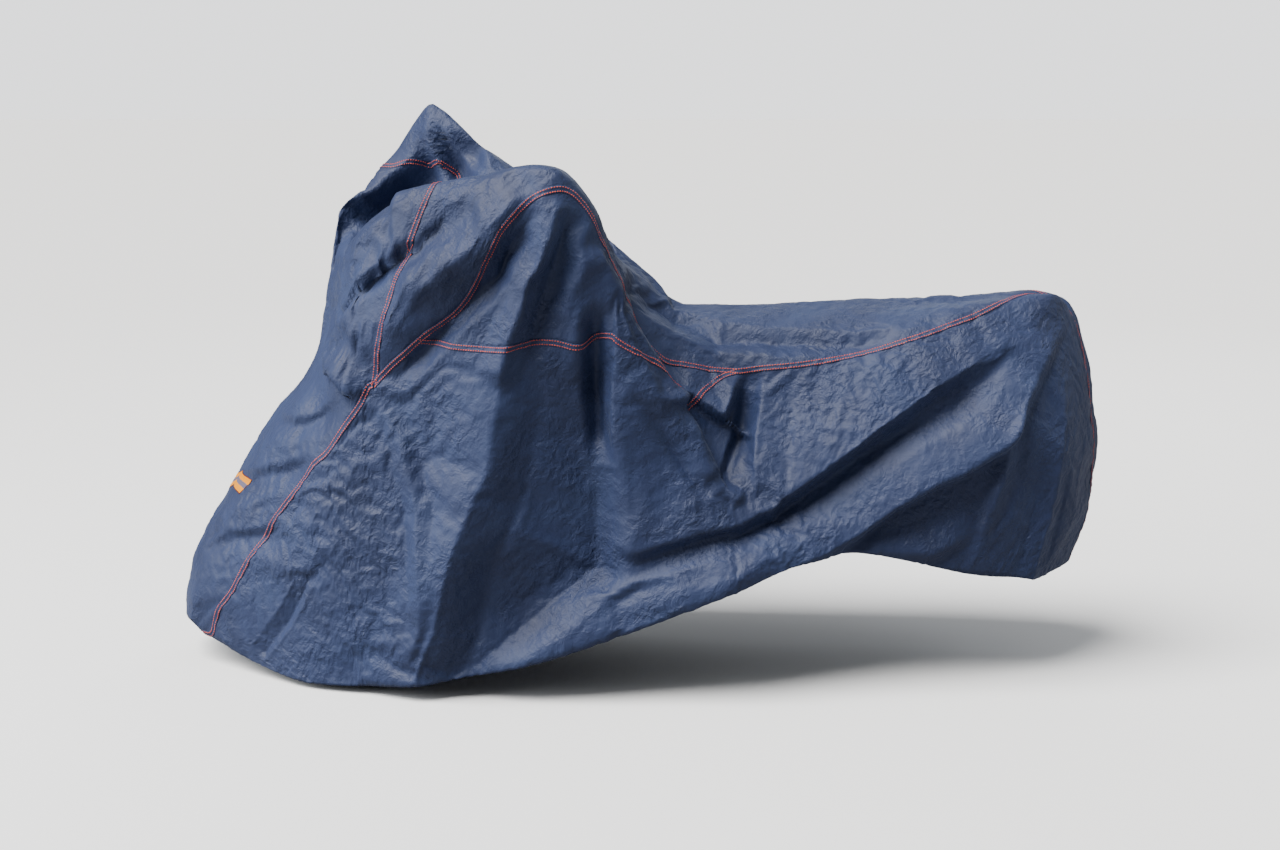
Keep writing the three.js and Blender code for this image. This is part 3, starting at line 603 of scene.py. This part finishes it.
def clothPoints(at, over):
    shift = between(seamShift, np.clip(over, seamShift[0]["over"], seamShift[-1]["over"]), "over", "back")
    at = at + shift * (1 - rise(np.abs(at - topStart), 0, seamShiftReach))
    rest = restPoints(at, over)
    normal = outward(at, over)
    x, z = rest[:, 0], rest[:, 2]
    near = rise(-over, *reach["near"])
    cone = window(over, *reach["coneSide"]) * window(at, *reach["coneLength"])
    far = rise(over, *reach["far"])
    out = unevenHeights(rest)
    slide = np.zeros_like(rest)
    for side, folds in ((near, nearFolds), (cone, coneFolds), (far, farFolds)):
        for one in folds:
            depth, slideX, slideZ = foldMoves(one, x, z)
            out += side * depth
            slide[:, 0] += side * slideX
            slide[:, 2] += side * slideZ
    top = window(over, *reach["top"])
    for one in topFolds:
        slide += (top * foldMoves(one, x, rest[:, 1])[0])[:, None] * np.array(one["push"])
    points = rest + normal * out[:, None] + slide
    toPeak = np.linalg.norm(points - np.array(farPeak["place"]), axis=1) / farPeak["reach"]
    points[:, 2] += farPeak["height"] * (1 - np.clip(toPeak, 0, 1)) ** 2
    return points * 0.001 - np.array(hang)


def seamAt(seam, at):
    return between(seam, at, "at", "over")


def sideEdge(at):
    edge = np.where(at < topStart, seamAt(frontSeam, at), seamAt(upperSeam, at))
    edge = np.where(at < gusset["first"] - 1e-6, edge, seamAt(lowerSeam, at))
    return np.where(at < tail + 1e-6, edge, 0)


def middleEdge(at):
    upper = np.maximum(seamAt(upperSeam, at), seamAt(lowerSeam, at) + gusset["tip"])
    edge = np.where(at < gusset["first"] - 1e-6, sideEdge(at), upper)
    return np.where(at > gusset["last"] + 1e-6, seamAt(lowerSeam, at), edge)


# "step" is the columns' spacing in millimetres, and the rest are rows.
weave = {
    "step": 7.2, "nearLow": 42, "nearHigh": 62, "farSide": 84, "middle": 104, "gusset": 22,
    "measuredAt": (-0.9, -0.6, -0.3, 0.1, 0.5),
}


# Columns of the cloth, about evenly spaced along it, with one at each place where a seam starts.
def columnPlaces():
    dense = np.linspace(0, rearHem, 100 * rearHem + 1)
    length = np.zeros(len(dense))
    for over in weave["measuredAt"]:
        points = restPoints(dense, np.full(len(dense), over))
        length[1:] += np.linalg.norm(np.diff(points, axis=0), axis=1) / len(weave["measuredAt"])
    length = np.cumsum(length)
    stops = [0, topStart, gusset["first"], gusset["last"], tail, rearHem]
    places = [np.array([0.0])]
    for first, last in zip(stops, stops[1:]):
        low, high = np.interp([first, last], dense, length)
        count = 2 * max(1, round((high - low) / weave["step"] / 2))
        places.append(np.interp(np.linspace(low, high, count + 1)[1:], length, dense))
        places[-1][-1] = last
    return np.concatenate(places)


columns = columnPlaces()


def panelPlaces(first, last, rows, low, high):
    at = columns[(columns > first - 1e-6) & (columns < last + 1e-6)]
    share = np.linspace(0, 1, rows + 1)[None, :]
    lowEdge, highEdge = low(at)[:, None], high(at)[:, None]
    over = lowEdge + (highEdge - lowEdge) * share
    return np.repeat(at[:, None], rows + 1, axis=1), over


# The near side has a row along the lower edge of the upper swag.
def nearSidePlaces():
    at = columns
    edge, top = seamAt(swagEdge, at)[:, None], sideEdge(at)[:, None]
    below = -1 + (edge + 1) * np.linspace(0, 1, weave["nearLow"] + 1)[None, :]
    above = edge + (top - edge) * np.linspace(0, 1, weave["nearHigh"] + 1)[None, 1:]
    over = np.concatenate([below, above], axis=1)
    return np.repeat(at[:, None], over.shape[1], axis=1), over


clothSheet = {"thickness": 0.0016}


# A sheet is a grid whose points go to their places.
def sheetObject(name, points):
    across, along = points.shape[:2]
    bm = bmesh.new()
    bmesh.ops.create_grid(bm, x_segments=across - 1, y_segments=along - 1, size=1)
    for face in bm.faces:
        face.smooth = True
    piece = meshObject(name, bm)
    piece.data.vertices.foreach_set("co", points.transpose(1, 0, 2).ravel())
    piece.data.update()
    return piece


panels = {
    # node: (places, sewn edges, flat width and length, flat area)
    "front_panel": (panelPlaces(0, topStart, weave["middle"], middleEdge, lambda at: -middleEdge(at)),
                    ("low", "high", "last"), (0.95, 1.45), 0.875),
    "top_panel": (panelPlaces(topStart, tail, weave["middle"], middleEdge, lambda at: -middleEdge(at)),
                  ("low", "high", "first", "last"), (0.80, 1.75), 0.809),
    "side_panel_near": (nearSidePlaces(), ("high",), (1.05, 2.45), 1.443),
    "side_panel_far": (panelPlaces(0, rearHem, weave["farSide"], lambda at: -sideEdge(at), np.ones_like),
                       ("low",), (1.05, 2.45), 1.344),
    "gusset_near": (panelPlaces(gusset["first"], gusset["last"], weave["gusset"],
                                lambda at: seamAt(lowerSeam, at), middleEdge),
                    ("low", "high", "first", "last"), (0.32, 1.0), 0.151),
    "gusset_far": (panelPlaces(gusset["first"], gusset["last"], weave["gusset"],
                               lambda at: -middleEdge(at), lambda at: -seamAt(lowerSeam, at)),
                   ("low", "high", "first", "last"), (0.32, 1.0), 0.164),
}


# How much more cloth there is than the smooth drape needs, as a share: most of it is in patches.
slack = {"least": 0.010, "patches": table("x z reach amount", [
    (-600, 1000, 240, 0.050), (-730, 820, 150, 0.030), (-960, 400, 330, 0.016), (-620, 300, 300, 0.018),
    (-520, 640, 180, 0.018), (360, 690, 260, 0.020), (560, 790, 200, 0.014), (-420, 1130, 130, 0.016),
    (150, 520, 150, 0.016), (960, 420, 240, 0.014), (30, 850, 200, 0.014),
])}
# Where the cloth lies calm: the share of the wrinkles that is left out.
calm = table("x y z reach share", [
    (-1010, 0, 440, 130, 0.95), (-536, 300, 1330, 190, 0.75), (-420, 240, 1240, 190, 0.55),
    (-700, 200, 1120, 160, 0.5), (400, -40, 900, 420, 0.55), (900, -60, 930, 200, 0.5),
    (-430, -420, 300, 200, 0.35), (-1120, 0, 130, 160, 0.5), (-60, 0, 1020, 160, 0.4),
])
# How the simulated cloth resists.
stiffness = {
    "quality": 3, "mass": 0.2, "tension_stiffness": 15, "compression_stiffness": 15,
    "shear_stiffness": 5, "pin_stiffness": 1,
}
growthSteps = 40
swelling = 0.8  # the share of a panel's wide swelling that is taken out again
# Each pass simulates a grid with every so many of the cloth's threads, coarse before fine.
wrinklePasses = table("every frames slack hold holdHem bending most keep", [
    (2, 10, 0.8, 0.14, 0.30, 0.06, 0.012, 12),
    (1, 6, 0.8, 0.35, 0.50, 0.02, 0.0045, 8),
])


def slackAt(points):
    amount = np.full(len(points), slack["least"])
    x, z = (points[:, 0] + hang[0]) * 1000, (points[:, 2] + hang[2]) * 1000
    for patch in slack["patches"]:
        away = np.hypot(x - patch["x"], z - patch["z"]) / patch["reach"]
        amount += patch["amount"] * (1 - rise(away, 0, 1))
    return amount


def calmAt(points):
    left = np.ones(points.shape[:-1])
    for one in calm:
        place = np.array([one["x"], one["y"], one["z"]]) * 0.001 - np.array(hang)
        away = np.linalg.norm(points - place, axis=-1) * 1000 / one["reach"]
        left *= 1 - one["share"] * (1 - rise(away, 0.3, 1))
    return left


# Blender's Cloth lets the cloth grow by its slack between its seams, which hold it.
def addCloth(piece, points, sewn, given):
    across, along = points.shape[:2]
    index = np.arange(across * along).reshape(along, across).T
    amount = slackAt(points.transpose(1, 0, 2).reshape(-1, 3)) * given["slack"]
    most = float(amount.max())
    held = piece.vertex_groups.new(name="held")
    held.add(range(len(amount)), given["hold"], "REPLACE")
    edges = {"low": index[:, 0], "high": index[:, -1], "first": index[0], "last": index[-1]}
    for edge, places in edges.items():
        if edge not in sewn:
            held.add([int(k) for k in places], given["holdHem"], "REPLACE")
    for edge in sewn:
        held.add([int(k) for k in edges[edge]], 1, "REPLACE")
    taut = piece.vertex_groups.new(name="taut")
    for step in range(growthSteps + 1):
        chosen = np.flatnonzero(np.round(amount / most * growthSteps) == step)
        if len(chosen):
            taut.add([int(k) for k in chosen], 1 - step / growthSteps, "REPLACE")
    cloth = piece.modifiers.new("wrinkles", "CLOTH")
    settings = cloth.settings
    for name, value in stiffness.items():
        setattr(settings, name, value)
    settings.bending_stiffness = given["bending"]
    settings.vertex_group_mass = "held"
    settings.vertex_group_shrink = "taut"
    settings.shrink_min = -most
    settings.shrink_max = 0
    settings.effector_weights.gravity = 0
    cloth.collision_settings.use_collision = False
    cloth.collision_settings.use_self_collision = False
    cloth.point_cache.frame_start = 1
    cloth.point_cache.frame_end = given["frames"]


# The moves of a coarse grid, spread to the finer one by cubic interpolation between its threads.
def refine(moves):
    for axis in (0, 1):
        moves = np.moveaxis(moves, axis, 0)
        padded = np.concatenate([moves[:1], moves, moves[-1:]])
        halfway = (9 * (padded[1:-2] + padded[2:-1]) - padded[:-3] - padded[3:]) / 16
        finer = np.empty((2 * len(moves) - 1, *moves.shape[1:]))
        finer[::2], finer[1::2] = moves, halfway
        moves = np.moveaxis(finer, 0, axis)
    return moves


# The wrinkles alone, without the wide swelling of the panel, and still at the sewn edges.
def ruffle(move, sewn, cells):
    wide = move
    for axis in (0, 1):
        wide = np.moveaxis(wide, axis, 0)
        padded = np.concatenate([np.repeat(wide[:1], cells, 0), wide, np.repeat(wide[-1:], cells, 0)])
        total = np.cumsum(np.concatenate([padded[:1] * 0, padded]), axis=0)
        wide = (total[2 * cells + 1:] - total[:-2 * cells - 1]) / (2 * cells + 1)
        wide = np.moveaxis(wide, 0, axis)
    across, along = move.shape[:2]
    i, j = np.arange(across)[:, None], np.arange(along)[None, :]
    away = {"low": j, "high": along - 1 - j, "first": i, "last": across - 1 - i}
    still = np.ones((across, along))
    for edge in sewn:
        still = still * rise(away[edge], 0, 3)
    return (move - swelling * wide) * still[..., None]


# Simulates all panels at once, and gives back their points with the wrinkles.
def wrinklePanels(shapes, given):
    every = given["every"]
    pieces = {}
    for name, points in shapes.items():
        coarse = points[::every, ::every]
        pieces[name] = sheetObject(name + "_simulated", coarse)
        addCloth(pieces[name], coarse, panels[name][1], given)
    for number in range(1, int(given["frames"]) + 1):
        bpy.context.scene.frame_set(number)
    depsgraph = bpy.context.evaluated_depsgraph_get()
    shaped = {}
    for name, piece in pieces.items():
        coarse = shapes[name][::every, ::every]
        across, along = coarse.shape[:2]
        mesh = piece.evaluated_get(depsgraph).to_mesh()
        moved = np.empty(across * along * 3)
        mesh.vertices.foreach_get("co", moved)
        moved = moved.reshape(along, across, 3).transpose(1, 0, 2)
        move = ruffle(moved - coarse, panels[name][1], given["keep"] // every)
        move *= calmAt(coarse)[..., None]
        length = np.linalg.norm(move, axis=2)[..., None]
        move *= given["most"] * np.tanh(length / given["most"]) / np.maximum(length, 1e-9)
        shaped[name] = shapes[name] + (refine(move) if every == 2 else move)
        print("wrinkles", name, round(float(length.mean()), 4), round(float(length.max()), 4))
    for piece in pieces.values():
        bpy.data.objects.remove(piece)
    return shaped


def addThickness(piece, thickness):
    solid = piece.modifiers.new("thickness", "SOLIDIFY")
    solid.thickness = thickness
    solid.offset = -1


def makePanels():
    material = clothMaterial()
    shapes, made = {}, {}
    for name, ((at, over), _, _, _) in panels.items():
        shapes[name] = clothPoints(at.ravel(), over.ravel()).reshape(*at.shape, 3)
        print("panel", name, at.shape)
    for given in wrinklePasses:
        shapes = wrinklePanels(shapes, given)
    for name, points in shapes.items():
        piece = sheetObject(name + "_cloth", points)
        piece.data.materials.append(material)
        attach(piece, "root")
        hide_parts(name)
        addThickness(piece, clothSheet["thickness"])
        made[name] = piece
    return made


# Each seam is a felled strip with two rows of stitches. These are its places for shares of its length.
# The side is 1 for the near one, -1 for the far one and 0 for the one down the middle.
def seamRun(seam, first, last, side):
    def places(share):
        at = first + share * (last - first)
        return at, side * seamAt(seam, at)
    return places


def acrossRun(share):
    end = frontSeam[-1]["over"]
    return np.full(len(share), float(topStart)), end - 2 * end * share


seamLines = {
    "front_near": seamRun(frontSeam, 0, topStart, 1), "front_far": seamRun(frontSeam, 0, topStart, -1),
    "across": acrossRun,
    "upper_near": seamRun(upperSeam, topStart, gusset["last"], 1),
    "upper_far": seamRun(upperSeam, topStart, gusset["last"], -1),
    "lower_near": seamRun(lowerSeam, gusset["first"], tail, 1),
    "lower_far": seamRun(lowerSeam, gusset["first"], tail, -1),
    "back": seamRun(upperSeam, tail, rearHem, 0),
}
seamLook = {
    "rowApart": 0.0098, "stripWidth": 0.017, "stripHeight": 0.0011, "stripStep": 0.004,
    # shares of the strip's half width, and heights
    "section": ((-1, 0.0001), (-0.8, 0.0011), (-0.25, 0.0011), (0, 0.0002), (0.25, 0.00132),
                (0.8, 0.0011), (1, 0.0001)),
    "wobble": 0.25, "wobbleScale": 70, "clear": 0.0004, "stripThickness": 0.0006,
    "stitchPitch": 0.0062, "stitchLength": 0.0050, "stitchWidth": 0.0030, "stitchHeight": 0.0017,
    "thread": (0.78, 0.085, 0.022), "threadDark": (0.42, 0.032, 0.010), "wearScale": 90,
    "strandScale": 1400, "strandBump": 0.0003, "finish": {"Roughness": 0.55, "Sheen Weight": 0.3},
}


def threadMaterial():
    material, nodes, links, shader = newMaterial("orangeThread")
    where = nodes.new("ShaderNodeTexCoord").outputs["Object"]
    worn = noiseNode(nodes, links, where, seamLook["wearScale"], 3, 0.6)
    colour = rampNode(nodes, links, worn, [(0.35, seamLook["threadDark"]), (0.6, seamLook["thread"])])
    links.new(colour, shader.inputs["Base Color"])
    setInputs(shader, seamLook["finish"])
    strands = noiseNode(nodes, links, where, seamLook["strandScale"], 2)
    addBump(nodes, links, strands, seamLook["strandBump"], shader)
    return material


def surfaceTree(pieces):
    bm = bmesh.new()
    for piece in pieces:
        bm.from_mesh(piece.data)
    bm.normal_update()
    tree = BVHTree.FromBMesh(bm)
    bm.free()
    return tree


# Evenly spaced points along a seam, each with its tangent, its outward normal and its side.
def seamFrames(name, tree, step):
    points = clothPoints(*seamLines[name](np.linspace(0, 1, 400)))
    length = np.concatenate([[0], np.cumsum(np.linalg.norm(np.diff(points, axis=0), axis=1))])
    count = max(2, round(length[-1] / step))
    even = np.linspace(0, length[-1], count + 1)
    line = [Vector([np.interp(s, length, points[:, axis]) for axis in range(3)]) for s in even]
    frames = []
    for k, point in enumerate(line):
        tangent = (line[min(k + 1, count)] - line[max(k - 1, 0)]).normalized()
        near = seamLook["stripStep"]
        around = [tree.find_nearest(point + tangent * ahead)[1] for ahead in (0, near, -near)]
        normal = sum(around, Vector()).normalized()
        side = tangent.cross(normal).normalized()
        frames.append((point, tangent, side.cross(tangent).normalized(), side))
    return frames


def onSurface(tree, point, lift):
    spot, normal, _, _ = tree.find_nearest(point)
    return spot + normal * lift


def makeStrip(name, frames, tree):
    half, section = seamLook["stripWidth"] / 2, seamLook["section"]
    points = np.empty((len(frames), len(section), 3))
    for i, (point, tangent, normal, side) in enumerate(frames):
        for j, (sideways, high) in enumerate(section):
            waver = noise.noise(point * seamLook["wobbleScale"] + Vector((j, 0, 0)))
            lift = high * (1 + seamLook["wobble"] * waver) + seamLook["clear"]
            points[i, j] = onSurface(tree, point - side * (sideways * half), lift)
    piece = sheetObject("strip_" + name, points)
    addThickness(piece, seamLook["stripThickness"])
    return piece


def makeStitches(name, frames, tree):
    single = bmesh.new()
    bmesh.ops.create_icosphere(single, subdivisions=1, radius=0.5)
    bmesh.ops.scale(single, verts=single.verts, vec=(
        seamLook["stitchLength"], seamLook["stitchWidth"], seamLook["stitchHeight"]))
    for face in single.faces:
        face.smooth = True
    stitch = bpy.data.meshes.new("stitch")
    bm = bmesh.new()
    spacing = seamLook["rowApart"] / 2
    for point, tangent, normal, side in frames[:-1]:
        for row in (-1, 1):
            place = onSurface(tree, point + side * row * spacing,
                              seamLook["stripHeight"] + seamLook["clear"])
            turned = Matrix((tangent, normal.cross(tangent), normal)).transposed().to_4x4()
            turned.translation = place
            single.to_mesh(stitch)
            stitch.transform(turned)
            bm.from_mesh(stitch)
    single.free()
    bpy.data.meshes.remove(stitch)
    return meshObject("stitches_" + name, bm)


def makeSeams(tree, cloth):
    thread = threadMaterial()
    made = {}
    for name in seamLines:
        strip = makeStrip(name, seamFrames(name, tree, seamLook["stripStep"]), tree)
        strip.data.materials.append(cloth)
        stitches = makeStitches(name, seamFrames(name, tree, seamLook["stitchPitch"]), tree)
        stitches.data.materials.append(thread)
        for piece in (strip, stitches):
            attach(piece, "root")
        made[name] = (strip, stitches)
        print("seam", name, len(strip.data.polygons), len(stitches.data.polygons))
    return made


# the reflective tape across the nose
tape = {
    "first": 10 / 3, "last": 11 / 3, "low": 5 / 16, "high": 11 / 16, "rows": 70, "columns": 14,
    "lift": 0.0009, "thickness": 0.0006, "bands": (0.36, 0.64), "raise": 0.15, "slant": 0.27,
    "border": 0.05, "endBorder": 0.0125, "orange": (0.66, 0.235, 0.0), "silver": (0.115, 0.10, 0.145),
    "edge": (0.10, 0.010, 0.010), "cellScale": 450, "cellBump": 0.0003,
    "finish": {"Roughness": 0.5, "Specular IOR Level": 0.25},
}


def tapeMaterial():
    material, nodes, links, shader = newMaterial("reflectiveFilm")
    split = nodes.new("ShaderNodeSeparateXYZ")
    links.new(nodes.new("ShaderNodeTexCoord").outputs["UV"], split.inputs["Vector"])
    low, high = tape["bands"]
    border = tape["border"]
    colour = rampNode(nodes, links, split.outputs["X"], [
        (0.0, tape["edge"]), (border, tape["orange"]), (low, tape["silver"]), (high, tape["orange"]),
        (1 - border, tape["edge"])])
    colour.node.color_ramp.interpolation = "CONSTANT"
    fromMiddle = mathNode(nodes, links, "SUBTRACT", split.outputs["Y"], 0.5)
    fromMiddle = mathNode(nodes, links, "ABSOLUTE", fromMiddle)
    atEnd = nodes.new("ShaderNodeMix")
    atEnd.data_type = "RGBA"
    atEnd.inputs["B"].default_value = (*tape["edge"], 1)
    beyond = mathNode(nodes, links, "GREATER_THAN", fromMiddle, 0.5 - tape["endBorder"])
    links.new(beyond, atEnd.inputs["Factor"])
    links.new(colour, atEnd.inputs["A"])
    links.new(atEnd.outputs["Result"], shader.inputs["Base Color"])
    setInputs(shader, tape["finish"])
    cells = nodes.new("ShaderNodeTexVoronoi")
    cells.inputs["Scale"].default_value = tape["cellScale"]
    links.new(nodes.new("ShaderNodeTexCoord").outputs["Object"], cells.inputs["Vector"])
    addBump(nodes, links, cells.outputs["Distance"], tape["cellBump"], shader)
    return material


def makeTape(tree):
    share = np.linspace(0, 1, tape["columns"] + 1)
    at = tape["first"] + (tape["last"] - tape["first"]) * share
    rows = np.linspace(tape["low"], tape["high"], tape["rows"] + 1)[None, :]
    edge = middleEdge(at)[:, None]
    over = edge * (1 - 2 * rows)
    # a straight strip comes down at both ends, because the nose slopes
    drop = tape["slant"] * np.abs(2 * rows - 1) / (tape["high"] - tape["low"])
    atGrid = at[:, None] + tape["raise"] - drop
    points = clothPoints(atGrid.ravel(), over.ravel()).reshape(*over.shape, 3)
    for place in np.ndindex(over.shape):
        points[place] = onSurface(tree, Vector(points[place]), tape["lift"])
    piece = sheetObject("tape_film", points)
    addThickness(piece, tape["thickness"])
    uv = piece.data.uv_layers.new(name="along")
    across, along = over.shape
    bm = bmesh.new()
    bmesh.ops.create_grid(bm, x_segments=across - 1, y_segments=along - 1, size=0.5)
    flat = [vert.co.copy() for vert in bm.verts]
    bm.free()
    for loop in piece.data.loops:
        spot = flat[loop.vertex_index]
        uv.data[loop.index].uv = (spot.x + 0.5, spot.y + 0.5)
    piece.data.materials.append(tapeMaterial())
    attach(piece, "root")
    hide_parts("reflective_tape")
    return piece


setView()
setLights()
setFloor()
print("view, light and floor set")
crinkleGroup()
cover = makePanels()
print("panels made")
tree = surfaceTree(cover.values())
seams = makeSeams(tree, cover["front_panel"].data.materials[0])
film = makeTape(tree)
print("tape made")

# which seams lie on each panel
sewnTo = {
    "front_panel": ["front_near", "front_far", "across"], "top_panel": [], "side_panel_near": ["back"],
    "side_panel_far": [], "gusset_near": ["upper_near", "lower_near"],
    "gusset_far": ["upper_far", "lower_far"],
}
for name, (_, _, flat, area) in panels.items():
    onIt = [piece for seam in sewnTo[name] for piece in seams[seam]]
    if name == "front_panel":
        onIt.append(film)
